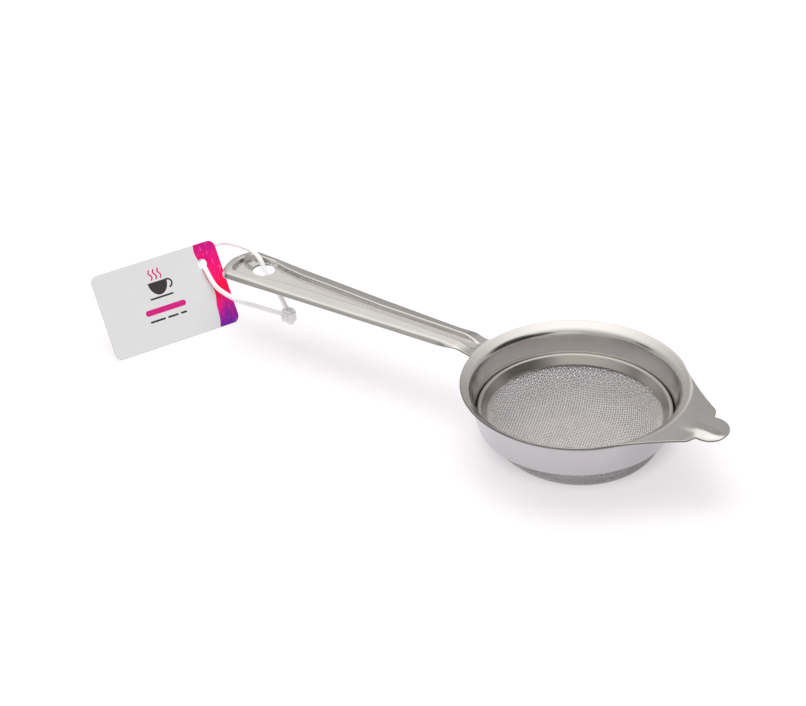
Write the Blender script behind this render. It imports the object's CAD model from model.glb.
"""Tea strainer with its card tag, on a white floor.

Lengths are in millimetres in the part's own frame, and become metres when a mesh is made.
"""

from math import atan, cos, hypot, pi, radians, sin, sqrt, tan

import bmesh
import bpy
import numpy as np
from mathutils import Matrix, Vector
from mathutils.geometry import delaunay_2d_cdt
from mathutils.kdtree import KDTree


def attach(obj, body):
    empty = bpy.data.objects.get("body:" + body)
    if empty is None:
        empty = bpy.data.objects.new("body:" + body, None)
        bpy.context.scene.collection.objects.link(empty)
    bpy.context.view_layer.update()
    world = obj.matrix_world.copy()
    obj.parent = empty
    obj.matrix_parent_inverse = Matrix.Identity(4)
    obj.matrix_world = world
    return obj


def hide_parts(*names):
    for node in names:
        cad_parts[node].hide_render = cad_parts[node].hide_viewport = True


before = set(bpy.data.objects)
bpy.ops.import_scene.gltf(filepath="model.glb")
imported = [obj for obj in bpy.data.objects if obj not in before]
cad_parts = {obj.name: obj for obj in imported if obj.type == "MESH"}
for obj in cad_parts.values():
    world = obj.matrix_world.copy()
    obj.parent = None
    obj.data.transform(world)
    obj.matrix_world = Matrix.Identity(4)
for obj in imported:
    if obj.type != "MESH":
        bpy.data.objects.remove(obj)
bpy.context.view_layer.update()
scene = bpy.context.scene
MM = 0.001
SAME_PLACE = 1e-6  # points closer than this count as one
NO_AREA = 1e-9  # triangles smaller than this are left out

# ---------------------------------------------------------------- dimensions
#
# These are as in the CAD model, apart from hole, hole_radius and basket_corner.

# pressed frame
sheet = 0.8
rim_radius = 42.5
rim_height = 30.3
bend_radius = 38.6
bend_height = 27.7
foot_radius = 36.2
foot_height = 13.3
hem_radius = 34.9
handle_floor = 30.5
root_x = -55.0
root_half = 6.9
end_x = -157.0
end_half = 11.2
tip_x = -162.4
hole = np.array((-146.6, 1.7))
hole_radius = 4.6
tab_top = 30.0
lobe_x = 55.3
lobe_radius = 7.2
flank_angle = 50.0
flank_hollow = 1.0
shoulder = np.array((52.2, 11.2))
notch_x = 53.6
# wire cloth and its ring
basket_corner = 28.6
basket_rounding = 15.0
basket_top = 14.7
basket_top_radius = 34.7
edge_radius = 35.3
cloth = 0.5
cloth_gap = 0.1
ring_sheet = 0.5
# retaining ring, along the middle of its sheet
ring_path = ((32.75, 15.9), (34.85, 19.15), (36.1, 19.15), (35.35, 15.42))
# card tag
tag_width = 55.6
tag_height = 35.5
tag_rounding = 3.0
card = 0.4
tag_corner = (-162.8, 3.3)
tag_yaw = radians(66.3)
tag_lean = radians(55.5)
eyelet = (7.8, 27.1)
eyelet_radius = 2.0
# loop tie and its lock
strand = 2.0
lock_size = (5.6, 4.2, 5.0)
lock_centre = (-136.4, 3.0, 11.4)
tie_route = [
    (-136.9, 3.0, 13.9),
    (-139.2, 3.0, 18.3),
    (-143.1, 3.0, 23.8),
    (-147.0, 3.1, 29.0),
    (-149.8, 3.7, 33.5),
    (-154.4, 4.9, 35.4),
    (-161.0, 6.6, 34.5),
    (-167.8, 8.8, 32.5),
    (-174.5, 11.9, 29.5),
    (-181.0, 13.6, 26.2),
    (-185.0, 9.7, 23.6),
    (-183.6, 4.5, 22.2),
    (-178.0, 1.1, 22.6),
    (-175.3, 0.7, 18.6),
    (-172.4, 0.6, 14.8),
    (-168.9, 2.2, 11.6),
    (-162.5, 3.0, 9.7),
    (-150.8, 3.0, 10.5),
    (-139.2, 3.0, 11.2),
]

# ---------------------------------------------------------------- camera

camera_place = Vector((327.8, -558.2, 463.1)) * MM
camera_right = Vector((0.81978, 0.57191, -0.02955))
camera_down = Vector((0.29125, -0.46079, -0.83836))
camera_forward = Vector((-0.49308, 0.67867, -0.54431))
camera_data = bpy.data.cameras.new("camera")
camera_data.lens = 94.41
camera_data.sensor_width = 36.0
camera = bpy.data.objects.new("camera", camera_data)
scene.collection.objects.link(camera)
camera.matrix_world = Matrix.Translation(camera_place) @ Matrix(
    (camera_right, -camera_down, -camera_forward)
).transposed().to_4x4()
scene.camera = camera


# ---------------------------------------------------------------- mesh helpers


def smooth_step(low, high, value):
    """0 below low, 1 above high, and an even curve between them."""
    t = np.clip((np.asarray(value, float) - low) / (high - low), 0, 1)
    return t * t * (3 - 2 * t)


def add_object(name, data):
    piece = bpy.data.objects.new(name, data)
    scene.collection.objects.link(piece)
    return piece


def add_mesh(name, points, faces):
    """A smooth-shaded mesh object from points in millimetres and a list of faces."""
    mesh = bpy.data.meshes.new(name)
    mesh.from_pydata((np.asarray(points, float) * MM).tolist(), [], faces)
    mesh.shade_smooth()
    mesh.update()
    return add_object(name, mesh)


def rounded(corners, radii, step):
    """The flat line through the corners, with an arc of the given radius at each inner corner.

    Arcs are drawn in steps of the given length, and straights in steps of up to 2.5 times that.
    """
    corners = [np.array(c, float) for c in corners]
    line = [corners[0]]
    for before, here, after, radius in zip(corners, corners[1:], corners[2:], radii):
        back = (before - here) / np.linalg.norm(before - here)
        ahead = (after - here) / np.linalg.norm(after - here)
        half = np.arccos(np.clip(back @ ahead, -1, 1)) / 2
        reach = radius / tan(half)
        middle = (back + ahead) / np.linalg.norm(back + ahead)
        centre = here + middle * radius / sin(half)
        first, last = here + back * reach - centre, here + ahead * reach - centre
        turn = pi - 2 * half
        count = max(4, int(turn * radius / step) + 1)
        for i in range(count + 1):
            t = i / count
            arc = (first * sin((1 - t) * turn) + last * sin(t * turn)) / sin(turn)
            line.append(centre + arc)
    line.append(corners[-1])
    even = [line[0]]
    for point in line[1:]:
        gap = np.linalg.norm(point - even[-1])
        if gap < SAME_PLACE:
            continue
        parts = max(1, int(np.ceil(gap / (2.5 * step))))
        start = even[-1]
        even += [start + (point - start) * (k + 1) / parts for k in range(parts)]
    return np.array(even)


def only_used(points, triangles):
    """The points that the triangles use, and the triangles numbered to match."""
    used = np.unique(triangles)
    renumber = np.zeros(len(points), int)
    renumber[used] = np.arange(len(used))
    return points[used], renumber[triangles]


def point_normals(points, triangles):
    """Normals at the points, weighted by the area of the triangles."""
    a, b, c = (points[triangles[:, k]] for k in range(3))
    face = np.cross(b - a, c - a)
    normal = np.zeros_like(points)
    for k in range(3):
        np.add.at(normal, triangles[:, k], face)
    return normal / np.linalg.norm(normal, axis=1)[:, None]


def open_loops(triangles):
    """The open rims of a triangle mesh, each as a list of point numbers in order."""
    edges = np.vstack([triangles[:, (0, 1)], triangles[:, (1, 2)], triangles[:, (2, 0)]])
    pairs = set(map(tuple, edges.tolist()))
    ahead = {a: b for a, b in pairs if (b, a) not in pairs}
    loops = []
    while ahead:
        first, here = ahead.popitem()
        loop = [first]
        while here != first:
            loop.append(here)
            here = ahead.pop(here)
        loops.append(loop)
    return loops


# section of a cut edge: how far out and up each row lies, in half thicknesses
EDGE_SHAPE = ((0.22, 0.88), (0.36, 0.5), (0.4, 0.0), (0.36, -0.5), (0.22, -0.88))
TOP_FINISH, UNDER_FINISH, CUT_FINISH = range(3)


def shell(name, points, triangles, thickness):
    """A closed sheet of even thickness about a middle surface, with its open edges eased.

    The top, the underside and the cut edges get a material number each.
    """
    points, triangles = only_used(points, triangles)
    normal = point_normals(points, triangles)
    half, count = thickness / 2, len(points)
    layers = [points + normal * half, points - normal * half]
    faces = triangles.tolist() + (triangles[:, ::-1] + count).tolist()
    finish = [TOP_FINISH] * len(triangles) + [UNDER_FINISH] * len(triangles)
    total = 2 * count
    for loop in open_loops(triangles):
        rim = points[loop]
        along = np.roll(rim, -1, 0) - np.roll(rim, 1, 0)
        outward = np.cross(along, normal[loop])
        outward /= np.linalg.norm(outward, axis=1)[:, None]
        rows = [np.array(loop)]
        for out, up in EDGE_SHAPE:
            layers.append(rim + outward * out * half + normal[loop] * up * half)
            rows.append(np.arange(total, total + len(loop)))
            total += len(loop)
        rows.append(np.array(loop) + count)
        for number, (upper, lower) in enumerate(zip(rows, rows[1:])):
            quads = np.stack([np.roll(upper, -1), upper, lower, np.roll(lower, -1)], 1)
            faces += quads.tolist()
            finish += [CUT_FINISH if number else TOP_FINISH] * len(quads)
    piece = add_mesh(name, np.vstack(layers), faces)
    piece.data.polygons.foreach_set("material_index", finish)
    return piece


def turned(profile, columns):
    """Points and triangles of a half section turned round the Z axis."""
    angle = np.arange(columns) * 2 * pi / columns
    points = np.stack(
        [
            np.outer(profile[:, 0], np.cos(angle)),
            np.outer(profile[:, 0], np.sin(angle)),
            np.repeat(profile[:, 1:], columns, 1),
        ],
        -1,
    ).reshape(-1, 3)
    row = np.arange(columns)
    triangles = []
    for k in range(len(profile) - 1):
        a, b = k * columns + row, (k + 1) * columns + row
        a2, b2 = np.roll(a, -1), np.roll(b, -1)
        triangles += [np.stack([a, a2, b], 1), np.stack([a2, b2, b], 1)]
    return points, np.vstack(triangles)


def inside(polygon, points):
    """Which of the points lie inside a closed polygon."""
    x, y = points[:, 0], points[:, 1]
    found = np.zeros(len(points), bool)
    for (x1, y1), (x2, y2) in zip(polygon, np.roll(polygon, -1, 0)):
        if y1 == y2:
            continue
        crossing = (y1 > y) != (y2 > y)
        found ^= crossing & (x < (x2 - x1) * (y - y1) / (y2 - y1) + x1)
    return found


def loop_edges(loops):
    """The edges of closed loops of point numbers."""
    return [(loop[i - 1], loop[i]) for loop in loops for i in range(len(loop))]


def cut_flat(points, edges):
    """Flat triangulation that keeps the edges, as Blender's delaunay_2d_cdt returns it."""
    return delaunay_2d_cdt([Vector(p) for p in points.tolist()], edges, [], 0, 1e-7)


def face_up(points, triangles):
    """The triangles, all counterclockwise, with their middles and twice their areas."""
    a, b, c = (points[triangles[:, k]] for k in range(3))
    turn = (b[:, 0] - a[:, 0]) * (c[:, 1] - a[:, 1]) - (b[:, 1] - a[:, 1]) * (c[:, 0] - a[:, 0])
    triangles[turn < 0] = triangles[turn < 0][:, ::-1]
    return triangles, (a + b + c) / 3, np.abs(turn)


def triangulate(points, loops):
    """Flat triangles over the points that keep the closed loops as edges, and their middles."""
    result = cut_flat(points, loop_edges(loops))
    origin = np.array([o[0] if o else -1 for o in result[3]])
    triangles, middles, _ = face_up(points, origin[np.array(result[2])])
    return triangles, middles


# ---------------------------------------------------------------- pressed steel frame: its outline


ARC_STEP = 0.2


def circle_arc(centre, radius, start, end):
    """Points on an arc between two angles."""
    count = max(2, int(abs(end - start) * radius / ARC_STEP))
    angle = np.linspace(start, end, count)
    return np.stack([centre[0] + radius * np.cos(angle), centre[1] + radius * np.sin(angle)], 1)


def arc_through(a, b, c):
    """Points on the arc from a through b to c."""
    a, b, c = (complex(*p) for p in (a, b, c))
    w = (c - a) / (b - a)
    centre = (b - a) * (w - abs(w) ** 2) / (2j * w.imag) + a
    radius = abs(a - centre)
    start, middle, end = (np.angle(p - centre) for p in (a, b, c))
    middle = start + (middle - start + pi) % (2 * pi) - pi
    end = middle + (end - middle + pi) % (2 * pi) - pi
    return circle_arc((centre.real, centre.imag), radius, start, end)


side_spread = (end_half - root_half) / (root_x - end_x)
root_join = 0.98 * rim_radius  # the handle's sides meet the rim this far from its axis
notch_points, side_points = 12, 560
fine_step = 0.1
smooth_rounds = 120
corner_reach = 0.5
# where the outline's corners are eased more or less: X, width of the place, change of the reach
corner_changes = (
    (-44.5, 6.0, 2.6),  # handle root
    (end_x, 5.0, 1.8),  # handle end
    (51.6, 1.6, 0.35),  # tab shoulder
    (notch_x + 0.2, 0.7, -0.2),  # notch beside the lobe
)


def plan_outline(spacing):
    """The frame's plan outline, counterclockwise.

    Returns evenly spaced points, their outward normals, and the same outline in fine steps.
    """
    side_half = root_half + side_spread * (root_x + root_join)
    root_angle = pi - atan(side_half / root_join)
    flank_start = rim_radius * np.array((cos(radians(flank_angle)), sin(radians(flank_angle))))
    flank = shoulder - flank_start
    bulge = flank_start + flank / 2 + np.array((flank[1], -flank[0])) / hypot(*flank) * flank_hollow
    notch = np.array((notch_x, sqrt(lobe_radius**2 - (lobe_x - notch_x) ** 2)))
    lobe_start = atan(notch[1] / (notch[0] - lobe_x)) + pi
    parts = [
        circle_arc((lobe_x, 0), lobe_radius, 0, lobe_start),
        np.linspace(notch, shoulder, notch_points),
        arc_through(shoulder, bulge, flank_start),
        circle_arc((0, 0), rim_radius, radians(flank_angle), root_angle),
        np.linspace(
            rim_radius * np.array((cos(root_angle), sin(root_angle))),
            (end_x, end_half),
            side_points,
        ),
        arc_through((end_x, end_half), (tip_x, 0), (end_x, -end_half)),
    ]
    half = np.vstack(parts)
    half = half[: len(half) - len(parts[-1]) // 2]
    whole = np.vstack([half, half[::-1] * (1, -1)])
    keep = np.linalg.norm(whole - np.roll(whole, 1, 0), axis=1) > SAME_PLACE
    whole = whole[keep]

    def spread(line, step):
        closed = np.vstack([line, line[:1]])
        length = np.concatenate([[0], np.cumsum(np.linalg.norm(np.diff(closed, axis=0), axis=1))])
        count = int(round(length[-1] / step))
        at = np.arange(count) * length[-1] / count
        return np.stack([np.interp(at, length, closed[:, k]) for k in (0, 1)], 1)

    fine = spread(whole, fine_step)
    reach = np.full(len(fine), corner_reach)
    for x, width, change in corner_changes:
        reach += change * np.exp(-(((fine[:, 0] - x) / width) ** 2))
    weight = np.clip((reach / fine_step) ** 2 / smooth_rounds, 0, 0.5)[:, None]
    for _ in range(smooth_rounds):
        fine = fine + weight * ((np.roll(fine, 1, 0) + np.roll(fine, -1, 0)) / 2 - fine)
    line = spread(fine, spacing)
    along = np.roll(line, -1, 0) - np.roll(line, 1, 0)
    normal = np.stack([along[:, 1], -along[:, 0]], 1)
    return line, normal / np.linalg.norm(normal, axis=1)[:, None], fine


outline_step = 0.5
outline, outline_normal, outline_fine = plan_outline(outline_step)
outline_tree = KDTree(len(outline_fine))
for number, place in enumerate(outline_fine):
    outline_tree.insert((*place, 0), number)
outline_tree.balance()


def inset_of(points):
    """Distance from each plan point to the outline."""
    return np.array([outline_tree.find((*p, 0))[2] for p in points])


# ---------------------------------------------------------------- pressed steel frame: its heights

flange_fall = (rim_height - bend_height) / (rim_radius - bend_radius)
flange_upright = sheet * sqrt(1 + flange_fall**2)
rim_middle = rim_height - flange_upright / 2
# handle lip: height of its crest and its fall to the outside
lip_top = 32.4
lip_fall = 0.15
# handle sides, that roll down: slope, radius of the roll, height of the lower edge
skirt_slope = radians(57)
skirt_roll = 1.15
skirt_end = 29.95
skirt_from = -44.0
skirt_fade = (-45.5, -58.0)
# distance of the plan mesh from the outline, along the rim and along the handle
strip_inset = 1.3
skirt_inset = 1.8
# handle root: its length, its height over the rim and how softly it leaves the cone
root_length = 8
root_rise = 0.12
root_ease, tab_ease = 0.5, 0.35
ridge_height = 0.7
lobe_droop = 0.5
# distance of the lip's inner edge from the outline, along the handle
crest_x = (-156, -150, -146, -138, -130, -110, -90, -70, -58, -48)
crest_insets = (3.9, 3.5, 3.5, 4.9, 5.6, 5.6, 5.8, 4.9, 4.3, 4.0)
lip_rounding, step_rounding = 0.25, 0.6
lip_profile = rounded(
    [
        (-12, lip_top - sheet / 2 - 12 * lip_fall),
        (0, lip_top - sheet / 2),
        (0.6, handle_floor - sheet / 2),
        (14, handle_floor - sheet / 2),
    ],
    (lip_rounding, step_rounding),
    0.05,
)


def soft_least(a, b, reach):
    """The lower of two heights, eased where they cross."""
    t = np.clip(0.5 + (b - a) / (2 * reach), 0, 1)
    return b * (1 - t) + a * t - reach * t * (1 - t)


def cone_height(radius):
    """Height of the flange's middle surface."""
    return rim_middle - flange_fall * (rim_radius - radius)


def middle_height(points, inset):
    """Height of the sheet's middle over plan points, given their distance from the outline."""
    x, y = points[:, 0], points[:, 1]
    radius = np.hypot(x, y)
    cone = cone_height(radius)
    # handle: lips that fall outwards, a steep step and a flat floor
    handle = np.interp(inset - np.interp(x, crest_x, crest_insets), *lip_profile.T)
    on_handle = smooth_step(rim_radius, rim_radius + root_length, radius) * (x < 0)
    root = soft_least(cone, np.full_like(cone, rim_middle + root_rise), root_ease)
    # tab: a plane, with a low ridge along its near side and a lobe that bends down at its near edge
    plane = np.full_like(cone, tab_top - sheet / 2)
    plane = plane + ridge_height * np.exp(-(((x - 54.5) / 4.8) ** 2) - ((y + 2.9) / 1.5) ** 2)
    at_edge = smooth_step(2.6, 0.0, inset) * smooth_step(50, 55, x) * smooth_step(-1, -4, y)
    plane = plane - lobe_droop * at_edge
    tab = soft_least(cone, plane, tab_ease)
    return np.where(x < 0, root * (1 - on_handle) + handle * on_handle, tab)


# ---------------------------------------------------------------- pressed steel frame: its mesh

columns = 540
inner_radius = 41.0
# circles of points on the flange, and where they give way to the rows of the handle and the tab
flange_circles = (41.75, 42.2, 42.7, 43.3, 44.0)
circles_end = 44.6
# least distance of a point from the strip and from the hole's edge
strip_gap, hole_gap = 0.35, 1.25
fold_slack = 0.02
# rows of points: from the lip's inner edge along the handle, from the outline at the tab
crest_offsets = (-2.6, -2.1, -1.6, -1.1, -0.7, -0.45, -0.3, -0.2, -0.12, -0.05, 0.02, 0.09, 0.18)
crest_offsets += (0.27, 0.36, 0.45, 0.54, 0.63, 0.73, 0.84, 0.96, 1.1, 1.35, 1.7, 2.1, 2.6, 3.1)
crest_offsets += (3.6, 4.1, 4.6, 5.1, 5.6, 6.1)
crest_rows_end, tab_rows_start = -40, 30
tab_insets = (2.1, 2.6, 3.1, 3.7, 4.4, 5.2, 6.1, 7.1, 8.1, 9.1)
hole_count = 96
hole_grows = (0.14, 0.32, 0.6, 0.95)
inner_angle = np.arange(columns) * 2 * pi / columns
inner_loop = inner_radius * np.stack([np.cos(inner_angle), np.sin(inner_angle)], 1)

turned_down = smooth_step(*skirt_fade, outline[:, 0])
strip_start = strip_inset + (skirt_inset - strip_inset) * turned_down
plan_points = [outline - outline_normal * strip_start[:, None], inner_loop]
plan_insets = [strip_start, inset_of(inner_loop)]


def add_points(points, clear):
    """Adds the points that are marked clear and lie clear of the outline and the hole."""
    true = inset_of(points)
    from_hole = np.hypot(*(points - hole).T)
    least = np.where(points[:, 0] < skirt_from, skirt_inset, strip_inset) + strip_gap
    keep = clear & (true > least) & (from_hole > hole_radius + hole_gap)
    plan_points.append(points[keep])
    plan_insets.append(true[keep])


def add_row(insets, chosen):
    """Adds points at the given distances inside the outline, where the row isn't folded."""
    loop = outline - outline_normal * insets[:, None]
    unfolded = inset_of(loop) > insets - fold_slack
    add_points(loop, unfolded & chosen & (np.hypot(*loop.T) > circles_end))


for radius in flange_circles:
    add_points(inner_loop * radius / inner_radius, np.full(columns, True))
outline_crest = np.interp(outline[:, 0], crest_x, crest_insets)
for offset in crest_offsets:
    add_row(outline_crest + offset, outline[:, 0] < crest_rows_end)
for inset in tab_insets:
    add_row(np.full(len(outline), inset), outline[:, 0] > tab_rows_start)
hole_angle = np.arange(hole_count) * 2 * pi / hole_count
hole_start = sum(len(p) for p in plan_points)
for grow in hole_grows:
    ring = hole + (hole_radius + grow) * np.stack([np.cos(hole_angle), np.sin(hole_angle)], 1)
    plan_points.append(ring)
    plan_insets.append(inset_of(ring))
plan = np.vstack(plan_points)
plan_inset = np.concatenate(plan_insets)
outer_numbers = list(range(len(outline)))
inner_numbers = list(range(len(outline), len(outline) + columns))
hole_numbers = list(range(hole_start, hole_start + hole_count))
triangles, centres = triangulate(plan, [outer_numbers, inner_numbers, hole_numbers])
within = inside(plan[outer_numbers], centres)
within &= np.hypot(centres[:, 0], centres[:, 1]) > inner_radius * cos(pi / columns) - 1e-4
within &= np.hypot(*(centres - hole).T) > hole_radius + hole_grows[0] - 0.01
triangles = triangles[within]
heights = middle_height(plan, plan_inset)
frame_points = [np.column_stack([plan, heights])]
frame_triangles = [triangles]
total = len(plan)

# strip from the plan mesh to the outline: plain along the rim and tab, turned down along the handle
strip_steps, roll_steps = 9, 6
strip_end = 0.15
start_slope = atan(lip_fall)
previous = np.arange(len(outline))
start_height = heights[: len(outline)]
for k in range(1, strip_steps + 1):
    t = k / strip_steps
    plain_inset = strip_start + (strip_end - strip_start) * t
    plain = outline - outline_normal * plain_inset[:, None]
    plain_height = middle_height(plain, plain_inset)
    slope = start_slope + (skirt_slope - start_slope) * min(1, k / roll_steps)
    rolled_inset = strip_start - skirt_roll * (sin(slope) - sin(start_slope))
    rolled_height = start_height + skirt_roll * (cos(slope) - cos(start_slope))
    straight = max(0, k - roll_steps) / (strip_steps - roll_steps) * (rolled_height - skirt_end)
    rolled_height = rolled_height - straight
    rolled_inset = rolled_inset - straight / tan(skirt_slope)
    place_inset = plain_inset * (1 - turned_down) + rolled_inset * turned_down
    place = outline - outline_normal * place_inset[:, None]
    height = plain_height * (1 - turned_down) + rolled_height * turned_down
    frame_points.append(np.column_stack([place, height]))
    here = np.arange(total, total + len(outline))
    total += len(outline)
    nearer, farther = np.roll(previous, -1), np.roll(here, -1)
    frame_triangles += [
        np.stack([previous, here, nearer], 1),
        np.stack([here, farther, nearer], 1),
    ]
    previous = here

# bowl: flange, bend, wall and hem
foot_inner = foot_radius - sheet
bend_middle = bend_radius + sheet / 2 - 0.12
foot_middle = foot_inner + sheet / 2 + 0.06
hem_height = foot_height + sheet / 2
bowl_bend, bowl_corner = 3.4, 0.7
bowl_line = rounded(
    [
        (inner_radius, cone_height(inner_radius)),
        (bend_middle, cone_height(bend_middle)),
        (foot_middle, hem_height),
        (hem_radius + 0.1, hem_height),
    ],
    (bowl_bend, bowl_corner),
    0.3,
)
bowl_points, bowl_triangles = turned(bowl_line, columns)
bowl_numbers = np.concatenate(
    [np.array(inner_numbers), np.arange(total, total + len(bowl_points) - columns)]
)
frame_points.append(bowl_points[columns:])
frame_triangles.append(bowl_numbers[bowl_triangles])
strainer_frame = shell("strainer_frame", np.vstack(frame_points), np.vstack(frame_triangles), sheet)
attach(strainer_frame, "strainer")
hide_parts("frame")

# ---------------------------------------------------------------- retaining ring

ring_bend = 0.6
ring_line = rounded(ring_path, (ring_bend, ring_bend), 0.2)
ring_points, ring_triangles = turned(ring_line, columns)
clamp_ring = shell("clamp_ring", ring_points, ring_triangles[:, ::-1], ring_sheet)
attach(clamp_ring, "strainer")
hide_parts("retaining_ring")

# ---------------------------------------------------------------- wire cloth

basket_angle = atan(basket_top / (basket_top_radius - basket_corner))
basket_lean = np.array((1.8, 1.2, 0))  # sideways shift of the dish's bottom
basket_edge_rounding = 0.35
wire_radius = 0.19
crimp = 0.3  # how far a wire bends up and down, in wire radii
pitch = 0.97
points_per_pitch = 2
cloth_margin, wire_margin = 0.2, 0.3
least_points = 4


def basket_line(skin):
    """Half section of one layer's middle, from the axis to its turned-out edge."""
    top = basket_top - cloth / 2 + (skin - cloth / 2)
    corner = basket_corner - skin * tan(basket_angle / 2)
    side_top = basket_corner - skin / sin(basket_angle) + top / tan(basket_angle)
    return rounded(
        [(0, skin), (corner, skin), (side_top, top), (edge_radius - cloth_margin, top)],
        (basket_rounding - skin, basket_edge_rounding),
        0.25,
    )


def weave(name, skin, turn, across, node, slot):
    """The wires of one direction of a woven layer that is pressed into the basket's shape."""
    line = basket_line(skin)
    length = np.concatenate([[0], np.cumsum(np.linalg.norm(np.diff(line, axis=0), axis=1))])
    along = np.gradient(line, length, axis=0)
    reach = length[-1]
    count = int(reach / pitch)
    points, faces, total = [], [], 0
    for i in range(-count, count + 1):
        u = (i + 0.5) * pitch
        if abs(u) > reach - wire_margin:
            continue
        end = sqrt(reach**2 - u**2)
        steps = int(end / (pitch / points_per_pitch))
        v = np.arange(-steps, steps + 1) * pitch / points_per_pitch
        if len(v) < least_points:
            continue
        bob = np.cos(pi * (v / pitch - 0.5) + pi * (i % 2)) * wire_radius * crimp
        bob *= 1 if across else -1
        flat = np.hypot(u, v)
        angle = np.arctan2(v, u) if across else np.arctan2(u, v)
        angle = angle + turn
        r, z = (np.interp(flat, length, line[:, k]) for k in (0, 1))
        tr, tz = (np.interp(flat, length, along[:, k]) for k in (0, 1))
        size = np.hypot(tr, tz)
        outward = np.stack([np.cos(angle), np.sin(angle), np.zeros_like(angle)], 1)
        normal = outward * (-tz / size)[:, None] + np.array((0, 0, 1)) * (tr / size)[:, None]
        centre = outward * r[:, None] + np.array((0, 0, 1)) * z[:, None] + normal * bob[:, None]
        centre += basket_lean * smooth_step(basket_top, 0, centre[:, 2])[:, None]
        tangent = np.gradient(centre, axis=0)
        tangent /= np.linalg.norm(tangent, axis=1)[:, None]
        side = np.cross(tangent, normal)
        side /= np.linalg.norm(side, axis=1)[:, None]
        up = np.cross(side, tangent)
        ring = [centre + side * wire_radius, centre + up * wire_radius]
        ring += [centre - side * wire_radius, centre - up * wire_radius]
        points.append(np.stack(ring, 1).reshape(-1, 3))
        rows = total + 4 * np.arange(len(v))
        for k in range(4):
            k2 = (k + 1) % 4
            quads = np.stack([rows[:-1] + k, rows[:-1] + k2, rows[1:] + k2, rows[1:] + k], 1)
            faces.append(quads)
        faces.append(np.array([[rows[0] + 3, rows[0] + 2, rows[0] + 1, rows[0]]]))
        faces.append(np.array([[rows[-1], rows[-1] + 1, rows[-1] + 2, rows[-1] + 3]]))
        total += 4 * len(v)
    piece = add_mesh(name, np.vstack(points), np.vstack(faces).tolist())
    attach(piece, "strainer")
    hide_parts(node)
    return piece


fine_turn = radians(18)
backing_turn = radians(-27)
# height of each layer's middle over the floor
fine_skin = cloth * 1.5 + cloth_gap
backing_skin = cloth / 2 + 0.02
fine = ("fine_mesh", "fine_cloth_steel")
backing = ("backing_mesh", "backing_cloth_steel")
cloth_pieces = [
    weave("fine_cloth_warp", fine_skin, fine_turn, True, *fine),
    weave("fine_cloth_weft", fine_skin, fine_turn, False, *fine),
    weave("backing_cloth_warp", backing_skin, backing_turn, True, *backing),
    weave("backing_cloth_weft", backing_skin, backing_turn, False, *backing),
]

# ---------------------------------------------------------------- card tag

tag_right = np.array((cos(tag_yaw), sin(tag_yaw), 0))
tag_normal = np.array(
    (sin(tag_yaw) * sin(tag_lean), -cos(tag_yaw) * sin(tag_lean), cos(tag_lean))
)
tag_up = np.cross(tag_normal, tag_right)
tag_origin = np.array((*tag_corner, card / 2 * cos(tag_lean)))


def rounded_box(x0, y0, x1, y1, radius, count=8):
    """Outline of a rectangle with round corners, counterclockwise."""
    line = []
    for cx, cy, start in ((x1, y1, 0), (x0, y1, 90), (x0, y0, 180), (x1, y0, 270)):
        cx += radius if cx == x0 else -radius
        cy += radius if cy == y0 else -radius
        for i in range(count + 1):
            angle = radians(start + 90 * i / count)
            line.append((cx + radius * cos(angle), cy + radius * sin(angle)))
    return np.array(line)


def stroke(centre_line, width):
    """Outline of a stroke of even width with a round end at each side."""
    line = np.array(centre_line, float)
    along = np.gradient(line, axis=0)
    along /= np.linalg.norm(along, axis=1)[:, None]
    side = np.stack([-along[:, 1], along[:, 0]], 1) * width / 2
    turns = np.radians(np.linspace(90, -90, 7)[1:-1])
    caps = []
    for end, sign in ((-1, 1), (0, -1)):
        facing = along[end] * sign
        across = np.array((-facing[1], facing[0]))
        arc = np.outer(np.cos(turns), facing) + np.outer(np.sin(turns), across)
        caps.append(line[end] + width / 2 * arc)
    return np.vstack([line + side, caps[0], (line - side)[::-1], caps[1]])


# printed shapes, from the lower left corner of the card: a steaming cup over plain bars
sign_x, sign_y = 26.6, 24.2
cup_half, cup_top, cup_depth = 4.2, 3.0, 5.6
cup = [(cup_half, cup_top)]
cup += [
    (cup_half * cos(a), cup_top - cup_depth * sin(a)) for a in np.linspace(0.06, pi - 0.06, 22)
]
cup.append((-cup_half, cup_top))
cup = np.array(cup)[::-1] + (sign_x, sign_y - 1.2)
ear_angle = np.linspace(radians(-72), radians(98), 16)
ear_x = sign_x + 4.1 + 1.9 * np.cos(ear_angle)
ear_y = sign_y - 0.2 + 1.75 * np.sin(ear_angle)
ear = stroke(np.stack([ear_x, ear_y], 1), 0.7)
saucer = rounded_box(sign_x - 5.2, sign_y - 5.1, sign_x + 5.2, sign_y - 4.35, 0.36)
wisp_y = np.linspace(0, 3.9, 12)
wisps = [
    stroke(np.stack([sign_x + dx + 0.5 * np.sin(wisp_y * 1.6), sign_y + 2.9 + wisp_y], 1), 0.62)
    for dx in (-2.0, 0.0, 2.0)
]
name_bar = rounded_box(sign_x - 9.0, 13.2, sign_x + 9.0, 15.6, 1.1)
small_bars = [
    rounded_box(sign_x + left, 10.2, sign_x + right, 11.0, 0.38)
    for left, right in ((-8.2, -1.4), (-0.4, 4.4), (5.4, 8.2))
]
# the coloured band's wavy left edge
band_v = np.linspace(0.0, tag_height, 40)
band_left = 47.4 + 1.3 * np.sin((band_v - 5) / 5.6) + 0.35 * np.sin(band_v / 1.9)
PAPER, BAND, DARK_INK, BRIGHT_INK, EDGE = range(5)

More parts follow.
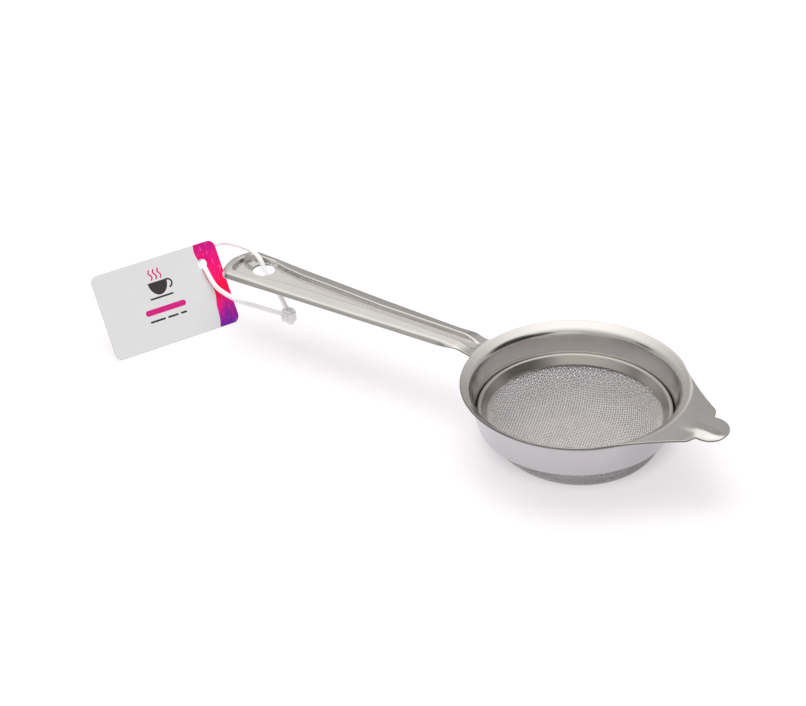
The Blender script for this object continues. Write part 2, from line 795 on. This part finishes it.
eyelet_angle = np.arange(48) * 2 * pi / 48
eyelet_loop = np.stack(
    [
        tag_width - eyelet[0] + eyelet_radius * np.cos(eyelet_angle),
        eyelet[1] + eyelet_radius * np.sin(eyelet_angle),
    ],
    1,
)
shapes = [(cup, DARK_INK), (ear, DARK_INK), (saucer, DARK_INK), (name_bar, BRIGHT_INK)]
shapes += [(wisp, BRIGHT_INK) for wisp in wisps] + [(bar, DARK_INK) for bar in small_bars]


def between(line, step):
    """A closed loop with points added so that none are farther apart than step."""
    out = []
    for a, b in zip(line, np.roll(line, -1, 0)):
        parts = max(1, int(np.ceil(hypot(*(b - a)) / step)))
        out += [a + (b - a) * k / parts for k in range(parts)]
    return np.array(out)


card_loop = between(rounded_box(0, 0, tag_width, tag_height, tag_rounding, 10), 1.5)
flat_points, flat_loops, count = [], [], 0
for line in [card_loop, eyelet_loop] + [s for s, _ in shapes]:
    flat_points.append(line)
    flat_loops.append(list(range(count, count + len(line))))
    count += len(line)
flat = np.vstack(flat_points)
card_edges = loop_edges(flat_loops)
band_points = np.stack([band_left, band_v], 1)
band_points[0, 1], band_points[-1, 1] = -0.5, tag_height + 0.5
flat_all = np.vstack([flat, band_points])
card_edges += [(len(flat) + i, len(flat) + i + 1) for i in range(len(band_points) - 1)]
cut = cut_flat(flat_all, card_edges)
face_points = np.array([tuple(v) for v in cut[0]])
face_triangles, middle, area = face_up(face_points, np.array(cut[2]))
keep = inside(card_loop, middle) & ~inside(eyelet_loop, middle) & (area > NO_AREA)
face_points, face_triangles = only_used(face_points, face_triangles[keep])
middle = middle[keep]
paint = np.full(len(face_triangles), PAPER)
band_region = np.vstack([band_points, [(tag_width + 2, tag_height + 2), (tag_width + 2, -2)]])
paint[inside(band_region, middle)] = BAND
for line, ink in shapes:
    paint[inside(line, middle)] = ink


def on_card(points, depth):
    """Points in the part's frame for places on the card, measured from its lower left corner."""
    points = np.asarray(points, float)
    return (
        tag_origin
        + np.outer(points[:, 0] - tag_width, tag_right)
        + np.outer(points[:, 1], tag_up)
        + depth * tag_normal
    )


tag_points = [on_card(face_points, card / 2), on_card(face_points, -card / 2)]
tag_faces = face_triangles.tolist() + (face_triangles[:, ::-1] + len(face_points)).tolist()
tag_paint = paint.tolist() + [PAPER] * len(face_triangles)
tag_flat = [face_points, face_points]
count = 2 * len(face_points)
edge_depth = 0.36  # the edge's two rows, from the card's middle, in card thicknesses
for loop in open_loops(face_triangles):
    rows = [np.array(loop)]
    for depth in (edge_depth, -edge_depth):
        tag_points.append(on_card(face_points[loop], card * depth))
        tag_flat.append(face_points[loop])
        rows.append(np.arange(count, count + len(loop)))
        count += len(loop)
    rows.append(np.array(loop) + len(face_points))
    for upper, lower in zip(rows, rows[1:]):
        quads = np.stack([np.roll(upper, -1), upper, lower, np.roll(lower, -1)], 1).tolist()
        tag_faces += quads
        tag_paint += [EDGE] * len(quads)
paper_tag = add_mesh("paper_tag", np.vstack(tag_points), tag_faces)
paper_tag.data.shade_flat()
paper_tag.data.polygons.foreach_set("material_index", tag_paint)
uv_layer = paper_tag.data.uv_layers.new(name="card_place")
tag_flat = np.vstack(tag_flat) / tag_width
corner_numbers = np.zeros(len(paper_tag.data.loops), int)
paper_tag.data.loops.foreach_get("vertex_index", corner_numbers)
uv_layer.data.foreach_set("uv", tag_flat[corner_numbers].ravel())
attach(paper_tag, "tag")
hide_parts("hang_tag")

# ---------------------------------------------------------------- loop tie and its lock

tie_curve = bpy.data.curves.new("loop_tie", "CURVE")
tie_curve.dimensions = "3D"
tie_spline = tie_curve.splines.new("NURBS")
tie_spline.points.add(len(tie_route) - 1)
for point, place in zip(tie_spline.points, tie_route):
    point.co = (place[0] * MM, place[1] * MM, place[2] * MM, 1)
    point.radius = strand / 2 * MM
tie_spline.order_u = 3
tie_spline.use_endpoint_u = True
tie_curve.resolution_u = 10
tie_curve.bevel_depth = 1.0
tie_curve.bevel_resolution = 5
tie_curve.use_fill_caps = True
loop_tie = add_object("loop_tie", tie_curve)
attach(loop_tie, "tie")
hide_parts("tag_loop")


def block(size, centre, bevel):
    """A box with rounded edges, as a bmesh."""
    solid = bmesh.new()
    bmesh.ops.create_cube(solid, size=1.0)
    bmesh.ops.scale(solid, vec=[s * MM for s in size], verts=solid.verts)
    bmesh.ops.bevel(
        solid, geom=solid.edges[:], offset=bevel * MM, segments=3, profile=0.5, affect="EDGES"
    )
    bmesh.ops.translate(solid, vec=[c * MM for c in centre], verts=solid.verts)
    return solid


lock_mesh = bpy.data.meshes.new("tie_lock")
lock = bmesh.new()
# size, shift from the lock's centre and bevel: body, top collar, two ribs, strand outlet
lock_parts = [
    (lock_size, (0, 0, 0), 0.9),
    ((4.6, 3.4, 1.2), (0, 0, 2.7), 0.45),
    ((0.7, 4.7, 3.4), (-1.1, 0, -0.1), 0.3),
    ((0.7, 4.7, 3.4), (0.9, 0, -0.1), 0.3),
    ((2.4, 2.0, 1.6), (0.9, 0, -2.9), 0.6),
]
for size, shift, bevel in lock_parts:
    part = block(size, [c + s for c, s in zip(lock_centre, shift)], bevel)
    piece_mesh = bpy.data.meshes.new("lock_part")
    part.to_mesh(piece_mesh)
    part.free()
    lock.from_mesh(piece_mesh)
    bpy.data.meshes.remove(piece_mesh)
lock.to_mesh(lock_mesh)
lock.free()
lock_mesh.shade_smooth()
tie_lock = add_object("tie_lock", lock_mesh)
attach(tie_lock, "tie")
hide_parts("loop_lock")

# ---------------------------------------------------------------- materials


class Nodes:
    """Short ways to add nodes to a node tree."""

    def __init__(self, tree):
        self.tree = tree

    def node(self, kind, *inputs, **settings):
        new = self.tree.nodes.new(kind)
        for key, value in settings.items():
            setattr(new, key, value)
        for index, value in enumerate(inputs):
            if value is None:
                continue
            if isinstance(value, bpy.types.NodeSocket):
                self.tree.links.new(value, new.inputs[index])
            else:
                new.inputs[index].default_value = value
        return new

    def math(self, operation, *inputs):
        return self.node("ShaderNodeMath", *inputs, operation=operation).outputs[0]

    def place(self):
        return self.node("ShaderNodeTexCoord").outputs["Object"]

    def noise(self, vector, scale, detail=3.0, roughness=0.5):
        new = self.node("ShaderNodeTexNoise", vector)
        new.inputs["Scale"].default_value = scale
        new.inputs["Detail"].default_value = detail
        new.inputs["Roughness"].default_value = roughness
        return new.outputs["Fac"]

    def stretch(self, vector, scale):
        new = self.node("ShaderNodeMapping", vector)
        new.inputs["Scale"].default_value = scale
        return new.outputs[0]

    def span(self, value, to_low, to_high, low=0.0, high=1.0, kind="LINEAR"):
        """Maps low..high onto to_low..to_high."""
        inputs = (value, low, high, to_low, to_high)
        return self.node("ShaderNodeMapRange", *inputs, interpolation_type=kind).outputs[0]

    def distance(self, place, centre=(0.0, 0.0)):
        """Distance of a place from a vertical line."""
        split = self.node("ShaderNodeSeparateXYZ", place)
        squares = []
        for value, middle in zip(split.outputs, centre):
            off = self.math("SUBTRACT", value, middle)
            squares.append(self.math("MULTIPLY", off, off))
        return self.math("SQRT", self.math("ADD", *squares))

    def ramp(self, value, stops):
        new = self.node("ShaderNodeValToRGB", value)
        elements = new.color_ramp.elements
        while len(elements) < len(stops):
            elements.new(0.5)
        for element, (place, colour) in zip(elements, stops):
            element.position = place
            element.color = (*colour, 1)
        return new.outputs[0]

    def blend(self, factor, first, second):
        """Mixes two colours, given as sockets or as three numbers."""
        new = self.node("ShaderNodeMix", factor, data_type="RGBA")
        for socket, value in ((new.inputs[6], first), (new.inputs[7], second)):
            if isinstance(value, bpy.types.NodeSocket):
                self.tree.links.new(value, socket)
            else:
                socket.default_value = (*value, 1)
        return new.outputs[2]


class Shader(Nodes):
    """A principled material, with uniform values for its sockets (underscores stand for spaces)."""

    def __init__(self, name, **values):
        self.material = bpy.data.materials.new(name)
        self.material.use_nodes = True
        super().__init__(self.material.node_tree)
        self.main = self.tree.nodes["Principled BSDF"]
        for key, value in values.items():
            self.main.inputs[key.replace("_", " ")].default_value = value

    def feed(self, name, value):
        self.tree.links.new(value, self.main.inputs[name])

    def bump(self, height, distance):
        new = self.node("ShaderNodeBump")
        new.inputs["Strength"].default_value = 1.0
        new.inputs["Distance"].default_value = distance
        self.tree.links.new(height, new.inputs["Height"])
        self.tree.links.new(new.outputs[0], self.main.inputs["Normal"])


def darker(colour, share):
    return tuple(c * share for c in colour)


lines_from = 0.046  # the straight lines start this far from the bowl's axis, in metres


def steel(name, colour, rough_low, rough_high, along_handle, scratch):
    """Stainless steel with fine rings from pressing and, on the handle, lines from rolling."""
    shader = Shader(name, Metallic=1.0)
    place = shader.place()
    radius = shader.distance(place)
    height = shader.node("ShaderNodeSeparateXYZ", place).outputs[2]
    rings = shader.node("ShaderNodeCombineXYZ", radius, height, 0.0).outputs[0]
    lines = shader.noise(rings, 1500.0, 4.0, 0.7)
    clouds = shader.noise(place, 60.0, 4.0, 0.55)
    if along_handle:
        straight = shader.noise(shader.stretch(place, (0.02, 1.0, 1.0)), 2200.0, 4.0, 0.7)
        outside = shader.math("GREATER_THAN", radius, lines_from)
        lines = shader.node("ShaderNodeMix", outside, None, lines, straight).outputs[0]
    rough = shader.math("MULTIPLY", lines, 0.5)
    rough = shader.math("ADD", rough, shader.math("MULTIPLY", clouds, 0.5))
    shader.feed("Roughness", shader.span(rough, rough_low, rough_high))
    shader.feed("Base Color", shader.blend(clouds, darker(colour, 0.93), colour))
    shader.bump(lines, scratch)
    return shader.material


frame_material = steel("pressed_steel", (0.72, 0.70, 0.68), 0.10, 0.24, True, 0.0000012)
under_material = steel("steel_underside", (0.55, 0.53, 0.545), 0.18, 0.34, True, 0.000002)
cut_material = steel("steel_cut_edge", (0.22, 0.21, 0.20), 0.30, 0.50, False, 0.000004)
ring_material = steel("ring_steel", (0.55, 0.52, 0.49), 0.24, 0.38, False, 0.0000015)


def wire(name, colour):
    """Drawn wire: bright, with dull patches."""
    shader = Shader(name, Metallic=0.85)
    place = shader.place()
    dull = shader.noise(place, 220.0, 3.0, 0.6)
    grain = shader.noise(place, 9000.0, 2.0, 0.5)
    shader.feed("Roughness", shader.span(dull, 0.4, 0.6))
    shader.feed("Base Color", shader.blend(dull, colour, darker(colour, 0.8)))
    shader.bump(grain, 0.00001)
    return shader.material


fine_wire = wire("fine_wire", (0.99, 0.955, 0.96))
backing_wire = wire("backing_wire", (0.50, 0.48, 0.485))


def paper(name, colour, gloss):
    """Coated card, or ink on it: an even colour with faint mottling and fibres under the coat."""
    shader = Shader(name, Coat_Weight=gloss, Coat_Roughness=0.14)
    place = shader.place()
    mottle = shader.noise(place, 180.0, 4.0, 0.6)
    fibres = shader.noise(place, 2600.0, 4.0, 0.7)
    shader.feed("Base Color", shader.blend(mottle, darker(colour, 0.965), colour))
    shader.feed("Roughness", shader.span(fibres, 0.32, 0.5))
    shader.bump(fibres, 0.000012)
    return shader


paper_white = paper("card_white", (0.70, 0.70, 0.705), 0.35)
ink_dark = paper("ink_dark", (0.035, 0.03, 0.035), 0.4)
ink_bright = paper("ink_bright", (0.62, 0.006, 0.2), 0.4)
edge_stock = Shader("card_edge", Roughness=0.85)
edge_fibre = edge_stock.noise(edge_stock.stretch(edge_stock.place(), (1.0, 1.0, 4.0)), 3000.0)
edge_dark, edge_pale = (0.20, 0.185, 0.185), (0.40, 0.38, 0.375)
edge_stock.feed("Base Color", edge_stock.blend(edge_fibre, edge_dark, edge_pale))

# the coloured band: a blend of colours up the card, with streaks across it
band = Shader(
    "card_band", Coat_Weight=0.12, Coat_Roughness=0.14, Specular_IOR_Level=0.25, Roughness=0.4
)
band_uv = band.node("ShaderNodeUVMap", uv_map="card_place").outputs[0]
band_up = band.node("ShaderNodeSeparateXYZ", band_uv).outputs[1]
slow = band.noise(band.stretch(band_uv, (14.0, 4.0, 1.0)), 1.0, 2.0)
lean = band.math("ADD", band_up, band.math("MULTIPLY", slow, 0.22))
hue = band.ramp(
    lean,
    [
        (0.08, (0.10, 0.015, 0.36)),
        (0.18, (0.30, 0.01, 0.34)),
        (0.28, (0.84, 0.005, 0.24)),
        (0.40, (0.98, 0.002, 0.045)),
        (0.55, (0.90, 0.002, 0.16)),
        (0.72, (0.55, 0.004, 0.20)),
    ],
)
streaks = band.noise(band.stretch(band_uv, (95.0, 13.0, 1.0)), 1.0, 4.0, 0.6)
dark_share = band.span(streaks, 0.75, 0.0, low=0.28, high=0.45)
pale_share = band.span(streaks, 0.0, 0.55, low=0.60, high=0.72)
streaked = band.blend(dark_share, hue, (0.30, 0.004, 0.12))
band.feed("Base Color", band.blend(pale_share, streaked, (0.95, 0.35, 0.62)))

for shader in (paper_white, band, ink_dark, ink_bright, edge_stock):
    paper_tag.data.materials.append(shader.material)

nylon = Shader(
    "nylon",
    IOR=1.5,
    Subsurface_Weight=0.25,
    Subsurface_Radius=(0.003, 0.003, 0.0028),
    Subsurface_Scale=1.0,
)
nylon_place = nylon.place()
nylon_cloud = nylon.noise(nylon_place, 500.0, 3.0)
nylon.feed("Base Color", nylon.blend(nylon_cloud, (0.89, 0.89, 0.89), (0.96, 0.96, 0.96)))
nylon.feed("Roughness", nylon.span(nylon_cloud, 0.22, 0.42))
nylon.bump(nylon.noise(nylon_place, 1800.0, 2.0), 0.00003)

for finish in (frame_material, under_material, cut_material):
    strainer_frame.data.materials.append(finish)
for finish in (ring_material, ring_material, cut_material):
    clamp_ring.data.materials.append(finish)
for piece in cloth_pieces:
    piece.data.materials.append(fine_wire if piece.name.startswith("fine") else backing_wire)
tie_curve.materials.append(nylon.material)
tie_lock.data.materials.append(nylon.material)

# ---------------------------------------------------------------- floor, light and view

floor_half = 4000
floor_corners = [(-1, -1, 0), (1, -1, 0), (1, 1, 0), (-1, 1, 0)]
floor = add_mesh("floor", np.array(floor_corners) * floor_half, [(0, 1, 2, 3)])
# the table glows evenly, but less in the bowl's own shade
shade_glow, table_glow = 0.3, 0.64
shade_inner, shade_outer = 27.0 * MM, 41.0 * MM
shade_middle = (-5.0 * MM, 11.0 * MM)
table = Shader(
    "floor",
    Roughness=0.9,
    Specular_IOR_Level=0.1,
    Base_Color=(0.31, 0.305, 0.312, 1),
    Emission_Color=(1.0, 0.975, 1.0, 1),
)
from_basket = table.distance(table.place(), shade_middle)
glow = table.span(from_basket, shade_glow, table_glow, shade_inner, shade_outer, "SMOOTHSTEP")
table.feed("Emission Strength", glow)
floor.data.materials.append(table.material)

key_place, key_target = Vector((-0.2, 0.0, 1.4)), Vector((-0.02, 0, 0))
key_data = bpy.data.lights.new("overhead", "AREA")
key_data.shape = "RECTANGLE"
key_data.size = key_data.size_y = 1.0
key_data.energy = 13
key = add_object("overhead", key_data)
key.location = key_place
key.rotation_euler = (key_target - key_place).to_track_quat("-Z", "Y").to_euler()
key.visible_glossy = False

# the studio seen in the steel: bright overhead, dimmer towards the horizon
world = bpy.data.worlds.new("studio")
scene.world = world
world.use_nodes = True
studio = Nodes(world.node_tree)
background = world.node_tree.nodes["Background"]
facing = studio.node("ShaderNodeTexCoord").outputs["Generated"]
height = studio.node("ShaderNodeSeparateXYZ", facing).outputs[2]
overhead_light = 1.45
elevations = ((-5, 0.30), (0, 0.34), (15, 0.38), (27, 0.44))
elevations += ((40, 0.58), (50, 0.70), (62, 0.86), (75, 1.0))
sky = studio.ramp(
    studio.span(height, 0.0, 1.0, low=-1.0),
    [(0.5 + sin(radians(angle)) / 2, (shade,) * 3) for angle, shade in elevations],
)
# softboxes and dark flags: azimuth and elevation, outer and inner reach in degrees, change of light
patches = (
    (312, 4, 24, 10, 0.5),
    (14, 20, 33, 17, -0.9),
    (342, 21, 21, 9, -0.8),
    (224, 20, 13, 5, -0.8),
    (243, 24, 20, 8, -0.18),
    (130, 31, 14, 5, 0.38),
    (105, 38, 20, 8, -0.38),
    (112, 16, 26, 10, -0.2),
)
light = studio.math("MULTIPLY", sky, overhead_light)
for azimuth, elevation, outer, inner, change in patches:
    turn, lift = radians(azimuth), radians(elevation)
    axis = (cos(turn) * cos(lift), sin(turn) * cos(lift), sin(lift))
    dot = studio.node("ShaderNodeVectorMath", facing, axis, operation="DOT_PRODUCT")
    far, near = cos(radians(outer)), cos(radians(inner))
    share = studio.span(dot.outputs["Value"], 1.0, 1.0 + change, far, near, "SMOOTHSTEP")
    light = studio.math("MULTIPLY", light, share)
studio.tree.links.new(light, background.inputs["Strength"])
background.inputs["Color"].default_value = (1.0, 0.985, 0.97, 1)

scene.view_settings.view_transform = "Standard"
scene.view_settings.look = "None"
scene.view_settings.exposure = 0.0
